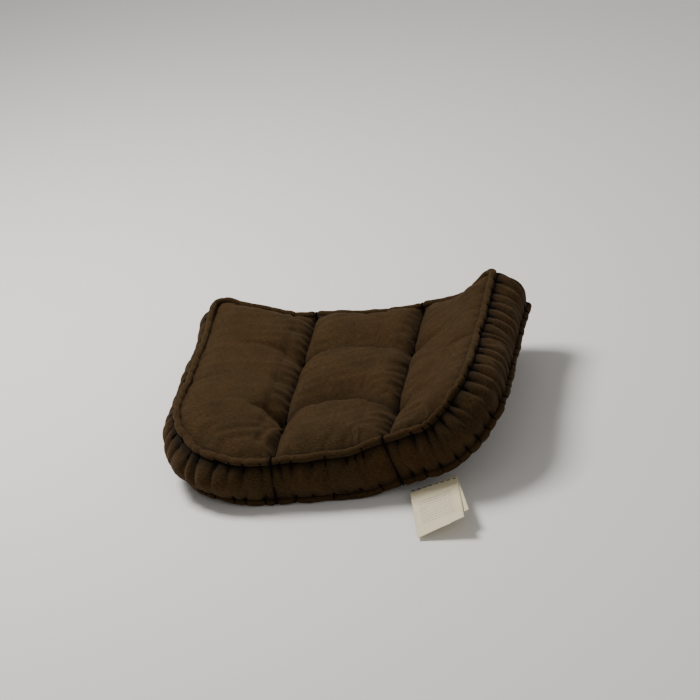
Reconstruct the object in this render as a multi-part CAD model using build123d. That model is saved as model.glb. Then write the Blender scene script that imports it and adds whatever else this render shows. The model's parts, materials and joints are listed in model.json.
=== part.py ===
from build123d import *
import os
from math import ceil, cos, hypot, pi, radians, sin, sqrt

# Tufted, boxed seat pad with stitched rolled edges, lying on a flat surface with its right side turned up.
# Lengths in mm, angles in degrees. Every piece is first thought of on the flat pad, at
# (u across, v towards the back, w above the underside), and bent() carries it to its place.

# Overall pad, measured flat, between the outsides of the rolled edges
pad_width = 500.0
pad_depth = 400.0
pad_height = 77.0
front_corner_radius = 127.0
back_corner_radius = 25.0
crown_rise = 9.0
crown_shoulder = 42.0

# Cloth, rolled edges and boxing
cloth_thickness = 1.5
roll_radius = 5.0
roll_cloth = 1.2
roll_lift = 0.8
roll_seam_angle = 8.0
boxing_inset = 2.5
boxing_bulge = 12.0
layer_gap = 0.3
edge_gap = 0.4 * roll_radius

# Filling
bottom_wadding_top = 14.0
top_wadding_bottom = 55.0
border_wadding_width = 16.0

# Tufts and the two cords wrapped round the pad
tuft_column = 86.0
front_tuft_row = -91.0
back_tuft_row = 66.0
tuft_floor = 62.0
groove_rim_height = 72.0
groove_floor_width = 4.0
groove_slope = 0.55
dimple_radius = 30.0
underside_channel_height = 5.5
underside_channel_width = 8.0
cord_radius = 1.25
cord_gap = 0.2
underside_cord_height = 2.2
knot_radius = 2.0
roll_bend_radius = 3.8
tuft_bend_radius = 15.0
boxing_dip_half_width = 5.0
boxing_dip_spread = 40.0

# Bends that turn the sides up: start, measured from the middle along the underside, and turn
bend_radius = 150.0
left_bend_start = tuft_column + 24.0
left_bend_angle = 7.5
inner_bend_start = tuft_column - 71.0
inner_bend_angle = 12.6
outer_bend_start = tuft_column + 49.0
outer_bend_angle = 30.6

# Stitches
stitch_spacing = 24.0
stitch_length = 9.0
thread_radius = 0.6
stitch_drop = 0.8
stitch_inset = 1.0
seam_stitch_count = 6
label_stitch_count = 8

# Care labels, sewn into the bottom seam at the front right
label_width = 66.0
label_length = 98.0
label_thickness = 0.6
label_start = 94.0
label_seam_inset = 3.0
label_seam_drop = 2.2
label_reach = 2.5
label_floor_gap = 0.4
back_label_width = 60.0
back_label_length = 86.0
back_label_turn = 7.0
back_label_offset = 0.9

# Fineness of the faceted bends and corners
bend_step = 5.2
front_corner_steps = 12
back_corner_steps = 4

half_width = pad_width / 2
half_depth = pad_depth / 2
roll_low = roll_radius + roll_lift
roll_high = pad_height - roll_radius
panel_inset = 2 * roll_radius + edge_gap
boxing_low = roll_low + roll_radius + layer_gap
boxing_high = roll_high - roll_radius - layer_gap
core_inset = boxing_inset + cloth_thickness + border_wadding_width + edge_gap

left_bends = [(left_bend_start, left_bend_angle)]
right_bends = [(inner_bend_start, inner_bend_angle), (outer_bend_start, outer_bend_angle)]


def bent_profile(distance, height, bends):
    """Sideways place, height and turn of a point, from its distance along the underside."""
    x = z = turn = travelled = 0.0
    for start, angle in bends:
        if distance <= start:
            break
        x += (start - travelled) * cos(turn)
        z += (start - travelled) * sin(turn)
        turned = min((distance - start) / bend_radius, radians(angle))
        x += bend_radius * (sin(turn + turned) - sin(turn))
        z += bend_radius * (cos(turn) - cos(turn + turned))
        turn += turned
        travelled = start + turned * bend_radius
    x += (distance - travelled) * cos(turn)
    z += (distance - travelled) * sin(turn)
    return x - height * sin(turn), z + height * cos(turn), turn


def bent(u, v, w):
    """Place in the bent pad of the flat pad's point (u, v, w)."""
    side = 1 if u >= 0 else -1
    x, z, _ = bent_profile(abs(u), w, right_bends if u >= 0 else left_bends)
    return Vector(side * x, v, z)


def local_frame(u, v, w):
    """Location that carries a piece modelled about the origin to (u, v, w) on a straight part."""
    side = 1 if u >= 0 else -1
    turn = bent_profile(abs(u), 0, right_bends if u >= 0 else left_bends)[2]
    across = (cos(turn), 0, side * sin(turn))
    upward = (-side * sin(turn), 0, cos(turn))
    return Plane(origin=bent(u, v, w), x_dir=across, z_dir=upward).location


def bend_stations():
    """Distances u at which the facets of the bends meet."""
    stations = []
    for side, bends in ((-1, left_bends), (1, right_bends)):
        for start, angle in bends:
            steps = ceil(angle / bend_step)
            arc = radians(angle) * bend_radius
            stations += [side * (start + arc * i / steps) for i in range(steps + 1)]
    return sorted(stations)


def outline_ends(u, inset):
    """Front and back edge of the flat outline at u, moved inwards by inset."""
    ends = []
    for radius in (front_corner_radius, back_corner_radius):
        past = max(abs(u) - (half_width - radius), 0.0)
        ends.append(half_depth - radius + sqrt(max((radius - inset) ** 2 - past**2, 0.0)))
    return -ends[0], ends[1]


def slab_stations(inset):
    """Distances u of the sections of a slab whose outline is moved inwards by inset."""
    stations = set(bend_stations())
    corners = ((front_corner_radius, front_corner_steps), (back_corner_radius, back_corner_steps))
    for radius, steps in corners:
        for i in range(steps + 1):
            u = half_width - radius + (radius - inset) * sin(pi / 2 * i / steps)
            stations |= {u, -u}
    edge = half_width - inset
    kept = []
    for u in sorted(s for s in stations if abs(s) < edge - 0.5):
        if not kept or u - kept[-1] > 0.5:
            kept.append(u)
    return [-edge] + [u for u in kept if u > 0.5 - edge] + [edge]


def ruled_solid(sections):
    """Closed solid through a list of sections, each a list of bent points."""
    return Solid.make_loft([Wire.make_polygon(points) for points in sections], ruled=True)


def crown_height(u, inset):
    """Height of the crown at u, falling to the rolled edge at the sides."""
    share = min((half_width - inset - abs(u)) / crown_shoulder, 1.0)
    return roll_high + (pad_height + crown_rise - roll_high) * max(share, 0.0)


def crowned_slab(inset, bottom, drop):
    """Slab with a crowned top, drop below the top of the cover."""
    sections = []
    for u in slab_stations(inset):
        front, back = outline_ends(u, inset)
        shoulder = min(crown_shoulder, (back - front) / 3)
        rim = roll_high - 2.0 - drop
        top = max(crown_height(u, inset) - drop, rim + 0.1)
        profile = [(front, bottom), (back, bottom), (back, rim), (back - shoulder, top)]
        profile += [(front + shoulder, top), (front, rim)]
        sections.append([bent(u, v, w) for v, w in profile])
    return ruled_solid(sections)


def flat_slab(inset, bottom, top):
    """Slab of even thickness that follows the bends."""
    sections = []
    for u in slab_stations(inset):
        front, back = outline_ends(u, inset)
        profile = [(front, bottom), (back, bottom), (back, top), (front, top)]
        sections.append([bent(u, v, w) for v, w in profile])
    return ruled_solid(sections)


def tapered_bar(stretches):
    """Bar along v through trapezoids, each (v, floor, floor half width, top, top half width)."""
    wires = []
    for v, low, low_half, high, high_half in stretches:
        corners = [(-low_half, low), (low_half, low), (high_half, high), (-high_half, high)]
        wires.append(Wire.make_polygon([(x, v, z) for x, z in corners]))
    return Solid.make_loft(wires, ruled=True)


def top_groove(drop):
    """Groove that a cord pulls into the top of one column, with a dimple at each tuft."""
    roof = pad_height + crown_rise + 5
    half_floor = groove_floor_width / 2 + drop
    over = half_depth + 10
    places = ((-over, groove_rim_height), (front_tuft_row, tuft_floor), (back_tuft_row, tuft_floor))
    places += ((over, groove_rim_height),)
    stretches = [
        (v, floor - drop, half_floor, roof, half_floor + groove_slope * (roof - floor + drop))
        for v, floor in places
    ]
    groove = tapered_bar(stretches)
    for row in (front_tuft_row, back_tuft_row):
        depth = roof - tuft_floor + drop
        upright = (Align.CENTER, Align.CENTER, Align.MIN)
        dimple = Cone(groove_floor_width, dimple_radius, depth, align=upright)
        groove += Pos(0, row, tuft_floor - drop) * dimple
    return groove


def underside_channel(lift):
    """Channel on the underside that holds one cord's lower run and its knots."""
    half = underside_channel_width / 2 + lift
    high = underside_channel_height + lift
    over = half_depth + 10
    return tapered_bar([(v, -5, half + 3, high, half) for v in (-over, over)])


def column_frames():
    """Frames of the left and the right tuft column, at the underside."""
    return [local_frame(side * tuft_column, 0, 0) for side in (-1, 1)]


def at_columns(tool):
    """The same tool at both tuft columns."""
    return [frame * tool for frame in column_frames()]


def cord_loop(radius):
    """One cord wrapped round the pad from front to back, in its own column's frame."""
    edge = half_depth - boxing_inset + cord_radius + cord_gap
    over_roll = roll_high + roll_radius - (half_depth - edge)
    top_run = tuft_floor + cord_radius + cord_gap
    corners = [(-edge, underside_cord_height), (-edge, over_roll), (front_tuft_row, top_run)]
    corners += [(back_tuft_row, top_run), (edge, over_roll), (edge, underside_cord_height)]
    radii = [roll_bend_radius, roll_bend_radius, tuft_bend_radius]
    radii += [tuft_bend_radius, roll_bend_radius, roll_bend_radius]
    path = FilletPolyline(*[(0, v, w) for v, w in corners], radius=radii, close=True)
    start = Plane(origin=path @ 0, z_dir=path % 0)
    return sweep(start * Circle(radius), path=path)


def tie_holes(radius):
    """Straight holes for the four tuft ties of both columns."""
    tool = Cylinder(radius, pad_height, align=(Align.CENTER, Align.CENTER, Align.MIN))
    return at_columns(Pos(0, front_tuft_row, 0) * tool + Pos(0, back_tuft_row, 0) * tool)


def corner_arc(centre_u, centre_v, radius, start, steps):
    """Stations (u, v, outward u, outward v) of a quarter circle, from angle start, anticlockwise."""
    arc = []
    for i in range(steps + 1):
        angle = radians(start + 90.0 * i / steps)
        arc.append((centre_u + radius * cos(angle), centre_v + radius * sin(angle), cos(angle), sin(angle)))
    return arc


def straight_edge(first_u, last_u, v, outward):
    """Stations between two corners along the front or back edge, closer at the cords and bends."""
    places = set(bend_stations())
    for column in (-tuft_column, tuft_column):
        for step in (-boxing_dip_spread, -boxing_dip_half_width, boxing_dip_half_width, boxing_dip_spread):
            places.add(column + step)
    low, high = sorted((first_u, last_u))
    inside = [u for u in sorted(places, reverse=first_u > last_u) if low + 2 < u < high - 2]
    return [(u, v, 0.0, outward) for u in inside]


def front_stations():
    """Outline from the left back seam round the front to the right back seam."""
    front_u = half_width - front_corner_radius
    front_v = -half_depth + front_corner_radius
    back_u = half_width - back_corner_radius
    back_v = half_depth - back_corner_radius
    stations = corner_arc(-back_u, back_v, back_corner_radius, 90, back_corner_steps)
    stations += corner_arc(-front_u, front_v, front_corner_radius, 180, front_corner_steps)
    stations += straight_edge(-front_u, front_u, -half_depth, -1.0)
    stations += corner_arc(front_u, front_v, front_corner_radius, 270, front_corner_steps)
    stations += corner_arc(back_u, back_v, back_corner_radius, 0, back_corner_steps)
    return stations


def back_stations():
    """Outline from the right back seam along the back to the left back seam."""
    back_u = half_width - back_corner_radius
    ends = [(back_u, half_depth, 0.0, 1.0), (-back_u, half_depth, 0.0, 1.0)]
    return [ends[0]] + straight_edge(back_u, -back_u, half_depth, 1.0) + [ends[1]]


def bulge_at(u, v):
    """Outward bulge of the boxing at its middle height, none where a cord holds it in."""
    nearest = hypot(abs(u) - tuft_column, half_depth - abs(v)) - boxing_dip_half_width
    return boxing_bulge * min(max(nearest / (boxing_dip_spread - boxing_dip_half_width), 0.0), 1.0)


def boxing_offset(u, v, w, inset):
    """Inward place of the boxing at height w, allowing for its bulge."""
    middle = (boxing_low + boxing_high) / 2
    share = 1 - abs(w - middle) / (boxing_high - middle)
    return inset - bulge_at(u, v) * share


def edge_point(station, inset, w):
    """Bent point of the outline station moved inwards by inset, at height w."""
    u, v, out_u, out_v = station
    return bent(u - out_u * inset, v - out_v * inset, w)


def boxing_strip(stations):
    """Strip of boxing cloth between the two rolled edges."""
    heights = (boxing_low, (boxing_low + boxing_high) / 2, boxing_high)
    sections = []
    for station in stations:
        outer = [(boxing_offset(*station[:2], w, boxing_inset), w) for w in heights]
        inner = [(inset + cloth_thickness, w) for inset, w in reversed(outer)]
        sections.append([edge_point(station, inset, w) for inset, w in outer + inner])
    return ruled_solid(sections)


def trimmed(stations, gap):
    """The stations with both ends drawn in by gap along the edge."""
    first, last = stations[0], stations[-1]
    towards = [(stations[1], first), (stations[-2], last)]
    ends = []
    for near, end in towards:
        share = gap / hypot(near[0] - end[0], near[1] - end[1])
        ends.append(tuple(e + (n - e) * share for n, e in zip(near, end)))
    return [ends[0]] + stations[1:-1] + [ends[1]]


def whole_outline():
    """Stations all round the pad, from one side of the left back seam to the other."""
    return trimmed(front_stations() + back_stations()[1:], layer_gap)


def filler_section():
    """Round section of the filler in a rolled edge."""
    return Wire.make_circle(roll_radius - roll_cloth - layer_gap)


def cover_section():
    """Section of the cloth rolled round the filler, open where its edges meet inside the pad."""
    reach = 180.0 - roll_seam_angle
    outer = CenterArc((0, 0), roll_radius, -reach, 2 * reach)
    inner = CenterArc((0, 0), roll_radius - roll_cloth, -reach, 2 * reach)
    return Wire([outer, Line(outer @ 1, inner @ 1), inner, Line(inner @ 0, outer @ 0)])


def edge_ring(height, section):
    """Section carried along a rolled edge, notched by the cords and butt joined at a back seam."""
    stations = whole_outline()
    points = [edge_point(station, roll_radius, height) for station in stations]
    wires = []
    for i, (station, point) in enumerate(zip(stations, points)):
        before, after = points[max(i - 1, 0)], points[min(i + 1, len(points) - 1)]
        outward = edge_point(station, 0, height) - point
        wires.append(Plane(origin=point, x_dir=outward, z_dir=after - before).location * section)
    ring = Solid.make_loft(wires, ruled=True)
    return cut_all(ring, at_columns(cord_loop(cord_radius + cord_gap)))


def border_ring():
    """Wadding between the core and the boxing."""
    inner = core_inset - edge_gap
    low, high = bottom_wadding_top + layer_gap, top_wadding_bottom - layer_gap
    middle = (boxing_low + boxing_high) / 2
    sections = []
    for station in whole_outline():
        backing = boxing_inset + cloth_thickness + layer_gap
        outer = [(boxing_offset(*station[:2], w, backing), w) for w in (low, middle, high)]
        profile = outer + [(inner, high), (inner, low)]
        sections.append([edge_point(station, inset, w) for inset, w in profile])
    return ruled_solid(sections)


def along_edge(stations, spacing):
    """Evenly spaced stations along the outline, with the edge's direction at each."""
    placed = []
    carried = spacing / 2
    for near, far in zip(stations, stations[1:]):
        length = hypot(far[0] - near[0], far[1] - near[1])
        while carried < length:
            share = carried / length
            placed.append(tuple(a + (b - a) * share for a, b in zip(near, far)))
            carried += spacing
        carried -= length
    return placed


def thread(start, end):
    """Short round stitch between two points."""
    run = end - start
    stitch = Plane(origin=start, z_dir=run) * Circle(thread_radius)
    return extrude(stitch, run.length, dir=run)


def edge_stitches(height, inset):
    """Hand stitches laid in the groove beside a rolled edge, clear of the cords."""
    stitches = []
    for u, v, out_u, out_v in along_edge(front_stations() + back_stations(), stitch_spacing):
        size = hypot(out_u, out_v)
        station = (u, v, out_u / size, out_v / size)
        on_straight = abs(v) > half_depth - 1
        if on_straight and abs(abs(u) - tuft_column) < stitch_length:
            continue
        ends = []
        for along in (-stitch_length / 2, stitch_length / 2):
            end = (u - along * station[3], v + along * station[2], *station[2:])
            ends.append(edge_point(end, inset, height))
        stitches.append(thread(*ends))
    return Compound(stitches)


def seam_stitches():
    """Short stitches that close the two seams of the boxing at the back corners."""
    stitches = []
    height = (boxing_high - boxing_low) / seam_stitch_count
    for u in (-(half_width - back_corner_radius), half_width - back_corner_radius):
        station = (u, half_depth, 0.0, 1.0)
        for i in range(seam_stitch_count):
            ends = []
            for share in (0.25, 0.75):
                w = boxing_low + height * (i + share)
                clear = boxing_offset(u, half_depth, w, boxing_inset) - thread_radius - cord_gap
                ends.append(edge_point(station, clear, w))
            stitches.append(thread(*ends))
    return Compound(stitches)


def label_seam():
    """The two ends, on the bottom seam, of the line that the labels hang from."""
    front_u = half_width - front_corner_radius
    sweep_angle = (label_start + label_width - front_u) / front_corner_radius
    far_u = front_u + front_corner_radius * sin(sweep_angle)
    far_v = -half_depth + front_corner_radius * (1 - cos(sweep_angle))
    low = bent(label_start, -half_depth + label_seam_inset, -label_seam_drop)
    high = bent(far_u, far_v + label_seam_inset, -label_seam_drop)
    return low, high


def label_plane():
    """Plane of the labels: x along the seam, y out and down until the low corner meets the floor."""
    low, high = label_seam()
    along = (high - low).normalized()
    outward = along.cross(Vector(0, 0, 1)).normalized()
    upward = outward.cross(along)
    fall = (low.Z - label_thickness - label_floor_gap) / (label_length * upward.Z)
    down = outward * sqrt(1 - fall**2) - upward * fall
    start = low + down * label_reach
    return Plane(origin=start, x_dir=along, z_dir=along.cross(down))


def label_leaf(width, length):
    """One flat leaf of woven label, hanging from the plane's x axis."""
    return Box(width, length, label_thickness, align=(Align.MIN, Align.MIN, Align.CENTER))


def label_stitches():
    """Stitches that hold the labels in the bottom seam."""
    low, high = label_seam()
    stitches = []
    for i in range(label_stitch_count):
        ends = [low + (high - low) * ((i + share) / label_stitch_count) for share in (0.2, 0.8)]
        stitches.append(thread(*ends))
    return Compound(stitches)


def column_ties():
    """The four ties that hold the tufts down, from the lower cords up to the upper ones."""
    low = underside_cord_height + knot_radius + cord_gap
    tie = Cylinder(cord_radius, tuft_floor - low, align=(Align.CENTER, Align.CENTER, Align.MIN))
    rows = (front_tuft_row, back_tuft_row)
    return Compound([place * Pos(0, row, low) * tie for place in column_frames() for row in rows])


def column_knots():
    """The four knots on the underside, each tied round its column's lower cord."""
    bore = Rot(90, 0, 0) * Cylinder(cord_radius + cord_gap / 2, 4 * knot_radius)
    knot = Sphere(knot_radius) - bore
    rows = (front_tuft_row, back_tuft_row)
    return Compound([
        place * Pos(0, row, underside_cord_height) * knot for place in column_frames() for row in rows
    ])


def cut_all(solid, tools):
    """Solid with every tool taken away."""
    for tool in tools:
        solid -= tool
    return solid


def build_parts():
    """Every sub-part by its node name."""
    holes = tie_holes(cord_radius + cord_gap)
    parts = {}

    skin = cut_all(crowned_slab(panel_inset, top_wadding_bottom, 0), at_columns(top_groove(0)))
    under_skin = crowned_slab(panel_inset - 1, top_wadding_bottom - 1, cloth_thickness)
    under_skin = cut_all(under_skin, at_columns(top_groove(cloth_thickness)))
    parts["top_panel"] = cut_all(skin - under_skin, holes)

    drop = cloth_thickness + layer_gap
    wadding = cut_all(crowned_slab(panel_inset, top_wadding_bottom, drop), at_columns(top_groove(drop)))
    parts["top_wadding"] = cut_all(wadding, holes)

    ticking = cut_all(flat_slab(panel_inset, 0, bottom_wadding_top), at_columns(underside_channel(0)))
    over_ticking = flat_slab(panel_inset - 1, cloth_thickness, bottom_wadding_top + 1)
    over_ticking = cut_all(over_ticking, at_columns(underside_channel(cloth_thickness)))
    parts["bottom_panel"] = cut_all(ticking - over_ticking, holes)

    wadding = flat_slab(panel_inset, drop, bottom_wadding_top)
    parts["bottom_wadding"] = cut_all(cut_all(wadding, at_columns(underside_channel(drop))), holes)

    core = flat_slab(core_inset, bottom_wadding_top + layer_gap, top_wadding_bottom - layer_gap)
    parts["core_batt"] = cut_all(core, holes)

    parts["boxing_front"] = boxing_strip(trimmed(front_stations(), layer_gap / 2))
    parts["boxing_back"] = boxing_strip(trimmed(back_stations(), layer_gap / 2))
    for edge, height in (("top", roll_high), ("bottom", roll_low)):
        parts[f"{edge}_roll_cover"] = edge_ring(height, cover_section())
        parts[f"{edge}_roll_filler"] = edge_ring(height, filler_section())
    parts["border_wadding"] = border_ring()

    parts["wrap_cord_left"], parts["wrap_cord_right"] = at_columns(cord_loop(cord_radius))
    parts["tuft_ties"] = column_ties()
    parts["tuft_knots"] = column_knots()

    parts["top_roll_stitches"] = edge_stitches(boxing_high - stitch_drop, stitch_inset)
    parts["bottom_roll_stitches"] = edge_stitches(boxing_low + stitch_drop, stitch_inset)
    parts["boxing_seam_stitches"] = seam_stitches()

    leaves = label_plane()
    back_place = Pos(0, 0, back_label_offset) * Pos(label_width - back_label_width, 0, 0)
    back_leaf = back_place * Rot(0, 0, -back_label_turn) * label_leaf(back_label_width, back_label_length)
    parts["care_label_front"] = leaves.location * label_leaf(label_width, label_length)
    parts["care_label_back"] = leaves.location * back_leaf
    parts["label_stitches"] = label_stitches()
    return parts


os.makedirs("parts", exist_ok=True)
for node, solid in build_parts().items():
    export_step(solid, f"parts/{node}.step")
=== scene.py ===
import json
import math

import bpy
import numpy as np
from mathutils import Matrix, Vector


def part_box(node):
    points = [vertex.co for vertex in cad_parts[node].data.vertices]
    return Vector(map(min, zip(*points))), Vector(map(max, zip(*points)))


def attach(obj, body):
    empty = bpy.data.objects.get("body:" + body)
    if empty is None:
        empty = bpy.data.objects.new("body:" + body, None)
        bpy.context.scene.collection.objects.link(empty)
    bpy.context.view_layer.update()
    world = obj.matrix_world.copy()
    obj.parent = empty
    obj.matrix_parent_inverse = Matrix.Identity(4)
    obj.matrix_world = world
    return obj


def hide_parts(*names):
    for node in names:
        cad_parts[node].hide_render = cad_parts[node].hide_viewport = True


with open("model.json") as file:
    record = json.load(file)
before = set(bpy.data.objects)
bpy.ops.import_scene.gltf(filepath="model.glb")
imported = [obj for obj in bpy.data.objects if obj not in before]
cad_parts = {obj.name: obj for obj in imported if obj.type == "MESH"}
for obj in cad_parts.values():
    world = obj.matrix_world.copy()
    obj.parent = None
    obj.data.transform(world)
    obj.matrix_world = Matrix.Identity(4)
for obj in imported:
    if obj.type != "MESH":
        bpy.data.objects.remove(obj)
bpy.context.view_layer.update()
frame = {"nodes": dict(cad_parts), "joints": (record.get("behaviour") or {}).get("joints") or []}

# Looks of a tufted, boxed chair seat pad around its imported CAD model. Metres, +Z up, -Y to the front.
# Every piece is shaped on the flat pad, at (u across, v towards the back, w above the underside),
# and bend() carries it to its place in the turned-up pad.

# ---------------------------------------------------------------- flat pattern, as the CAD has it
WIDTH = 0.500
FRONT_CORNER = 0.127
BACK_CORNER = 0.025
HEIGHT = 0.077
cord_low, cord_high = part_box("wrap_cord_left")
CORD_RADIUS = (cord_high.x - cord_low.x) / 2
COLUMN = -(cord_low.x + cord_high.x) / 2
ring_low, ring_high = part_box("top_roll_cover")
DEPTH = ring_high.y - ring_low.y
tie_low, tie_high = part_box("tuft_ties")
FRONT_ROW = tie_low.y + CORD_RADIUS
BACK_ROW = tie_high.y - CORD_RADIUS
HALF_WIDTH = WIDTH / 2
HALF_DEPTH = DEPTH / 2

# ---------------------------------------------------------------- bends that turn the sides up
BEND_RADIUS = 0.150
# Start, angle, and what the angle gains from the pad's middle to its back edge
LEFT_BEND = (0.110, math.radians(7.5), math.radians(3.0))
INNER_BEND = (0.015, math.radians(12.6), math.radians(-3.1))
OUTER_BEND = (0.135, math.radians(30.6), math.radians(-1.5))

FRONT_SKEW = 0.009
FRONT_TILT = 0.004

# ---------------------------------------------------------------- cover
CROWN = 0.0895
RIM = 0.0735
FRONT_RIM_RISE = 0.0020
RIM_INSET = 0.0100
ROLL_RADIUS = 0.0050
ROLL_INSET = 0.0052
TOP_ROLL = HEIGHT - ROLL_RADIUS
LOW_ROLL = ROLL_RADIUS + 0.0008
ROLL_TO_SEAM = 0.0042
BOXING_TOP = TOP_ROLL - ROLL_TO_SEAM
BOXING_LOW = LOW_ROLL + ROLL_TO_SEAM
BOXING_INSET = 0.0042
STITCH_SPACING = 0.0225
CLOTH = 0.0012
LEAST_HEIGHT = 0.0004

# ---------------------------------------------------------------- how fine the pieces' grids are
PANEL_MIDDLE = 0.110
TOP_STEP = 0.0022
BOTTOM_STEP = 0.0040
EDGE_STEP = 0.0018
CORD_SIDES = 10


def slumped(u, v, w):
    """Flat points moved as the soft pad has settled: front edge askew and back corners raised."""
    front = np.clip((-v - 0.080) / 0.120, 0, 1) ** 1.5
    across = np.tanh(u / COLUMN) / np.tanh(1)
    raised = w / HEIGHT
    v = v + FRONT_SKEW * across * front
    w = w + FRONT_TILT * across * front * raised
    for side, out, up in ((-1, 0.006, 0.010), (1, 0.006, 0.008)):
        near = np.exp(-(((u - side * HALF_WIDTH) / 0.075) ** 2) - ((v - HALF_DEPTH) / 0.075) ** 2)
        u, v, w = u + side * out * near, v + 0.7 * out * near, w + up * near * raised
    return u, v, w


def bend(u, v, w):
    """Places in the turned-up pad of the flat pad's points: an array of shape (..., 3)."""
    u, v, w = slumped(*np.broadcast_arrays(*(np.asarray(a, float) for a in (u, v, w))))
    lengthwise = v / HALF_DEPTH
    x = np.zeros(u.shape)
    z = np.zeros(u.shape)
    turn = np.zeros(u.shape)
    for side, bends in ((-1, (LEFT_BEND,)), (1, (INNER_BEND, OUTER_BEND))):
        here = u < 0 if side < 0 else u >= 0
        distance = np.abs(u)
        sx, sz, turned = np.zeros(u.shape), np.zeros(u.shape), np.zeros(u.shape)
        travelled = np.zeros(u.shape)
        for start, angle, twist in bends:
            straight = np.clip(distance, None, start) - travelled
            straight = np.maximum(straight, 0)
            sx += straight * np.cos(turned)
            sz += straight * np.sin(turned)
            more = np.clip((distance - start) / BEND_RADIUS, 0, angle + twist * lengthwise)
            sx += BEND_RADIUS * (np.sin(turned + more) - np.sin(turned))
            sz += BEND_RADIUS * (np.cos(turned) - np.cos(turned + more))
            turned = turned + more
            travelled = np.where(distance > start, start + more * BEND_RADIUS, distance)
        rest = distance - travelled
        sx += rest * np.cos(turned)
        sz += rest * np.sin(turned)
        x = np.where(here, side * sx, x)
        z = np.where(here, sz, z)
        turn = np.where(here, side * turned, turn)
    return np.stack([x - w * np.sin(turn), v, z + w * np.cos(turn)], -1)


# ---------------------------------------------------------------- outline
def make_outline():
    """The outline as even steps of length: places, outward directions and the length of each step."""
    front_u, front_v = HALF_WIDTH - FRONT_CORNER, -HALF_DEPTH + FRONT_CORNER
    back_u, back_v = HALF_WIDTH - BACK_CORNER, HALF_DEPTH - BACK_CORNER
    quarter = np.linspace(0, math.pi / 2, 160)
    rows = []

    def arc(cu, cv, radius, start):
        for a in quarter + start:
            out_u, out_v = math.cos(a), math.sin(a)
            rows.append((cu + radius * out_u, cv + radius * out_v, out_u, out_v))

    rows.append((0.0, HALF_DEPTH, 0.0, 1.0))
    arc(-back_u, back_v, BACK_CORNER, math.pi / 2)
    arc(-front_u, front_v, FRONT_CORNER, math.pi)
    arc(front_u, front_v, FRONT_CORNER, 1.5 * math.pi)
    arc(back_u, back_v, BACK_CORNER, 0.0)
    rows.append((0.0, HALF_DEPTH, 0.0, 1.0))
    rows = np.array(rows)
    steps = np.hypot(*np.diff(rows[:, :2], axis=0).T)
    keep = np.concatenate([[True], steps > 1e-9])
    rows = rows[keep]
    return rows, np.concatenate([[0], np.cumsum(np.hypot(*np.diff(rows[:, :2], axis=0).T))])


OUTLINE, OUTLINE_AT = make_outline()
PERIMETER = OUTLINE_AT[-1]


def edge(s):
    """(u, v, outward u, outward v) at length s along the outline."""
    s = np.mod(s, PERIMETER)
    u, v, out_u, out_v = (np.interp(s, OUTLINE_AT, OUTLINE[:, k]) for k in range(4))
    size = np.hypot(out_u, out_v)
    return u, v, out_u / size, out_v / size


def nearest_edge(u, v):
    """(length along the outline, distance inside it) of flat points."""
    at = np.linspace(0, PERIMETER, 1800, endpoint=False)
    eu, ev, _, _ = edge(at)
    flat_u, flat_v = np.ravel(u), np.ravel(v)
    place, inside = np.empty(flat_u.size), np.empty(flat_u.size)
    for i in range(0, flat_u.size, 4000):
        gap = np.hypot(flat_u[i : i + 4000, None] - eu, flat_v[i : i + 4000, None] - ev)
        k = gap.argmin(1)
        place[i : i + 4000] = at[k]
        inside[i : i + 4000] = gap[np.arange(len(k)), k]
    return place.reshape(np.shape(u)), inside.reshape(np.shape(u))


def cord_places():
    """Lengths along the outline where the two cords cross the edges."""
    at = np.linspace(0, PERIMETER, 20000, endpoint=False)
    u, v, _, out_v = edge(at)
    found = []
    for column in (-COLUMN, COLUMN):
        for side in (-1, 1):
            gap = np.where(out_v * side > 0.99, np.abs(u - column), 9)
            found.append(at[gap.argmin()])
    return np.array(found)


CORD_AT = cord_places()
LEFT_SEAM = HALF_WIDTH - BACK_CORNER
RIGHT_SEAM = PERIMETER - LEFT_SEAM


def around(s, place):
    """Distance along the outline from s to a place, the short way."""
    gap = np.abs(np.mod(s, PERIMETER) - place)
    return np.minimum(gap, PERIMETER - gap)


def from_cords(s):
    """Distance along the outline to the nearest cord."""
    return np.min([around(s, place) for place in CORD_AT], axis=0)


# ---------------------------------------------------------------- stitches and gathers
def stitch_line(seed):
    """Places, strengths and slants of the hand stitches along one rolled edge."""
    draw = np.random.default_rng(seed)
    count = int(PERIMETER / STITCH_SPACING)
    places = (np.arange(count) + 0.5) * PERIMETER / count
    places = places + draw.uniform(-0.0045, 0.0045, count)
    strength = draw.uniform(0.55, 1.0, count)
    slant = draw.uniform(-0.004, 0.004, count)
    u, _, _, out_v = edge(places)
    front_middle = np.exp(-(((u - 0.015) / 0.070) ** 4)) * (out_v < -0.9)
    tight = np.where(out_v > 0.9, 0.5, 1 - 0.75 * front_middle)
    clear = from_cords(places) > 0.009
    return places[clear], (strength * tight)[clear], slant[clear]


TOP_STITCHES = stitch_line(3)
LOW_STITCHES = stitch_line(5)


def gathers(s, line, reach, lean=0.0):
    """Valleys that the stitches of a line pull into the cloth: 0 between them, up to 1 at them."""
    total = np.zeros(np.shape(s))
    for place, strength, slant in zip(*line):
        gap = around(s + slant * lean * 3, place)
        total = np.maximum(total, strength * np.exp(-gap / reach))
    return total


def waves(a, b, seed, count=9, low=1.0, high=3.0):
    """Smooth random relief of about -1 to 1, from plane waves of lengths near 1 in a and b."""
    draw = np.random.default_rng(seed)
    total = np.zeros(np.shape(a))
    for _ in range(count):
        way, size, phase = draw.uniform(0, math.tau), draw.uniform(low, high), draw.uniform(0, math.tau)
        total = total + np.sin(size * (a * math.cos(way) + b * math.sin(way)) * 2 + phase)
    return total / count**0.5


# ---------------------------------------------------------------- top of the pad
FRONT_BOW = 0.028
BACK_BOW = 0.012
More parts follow.
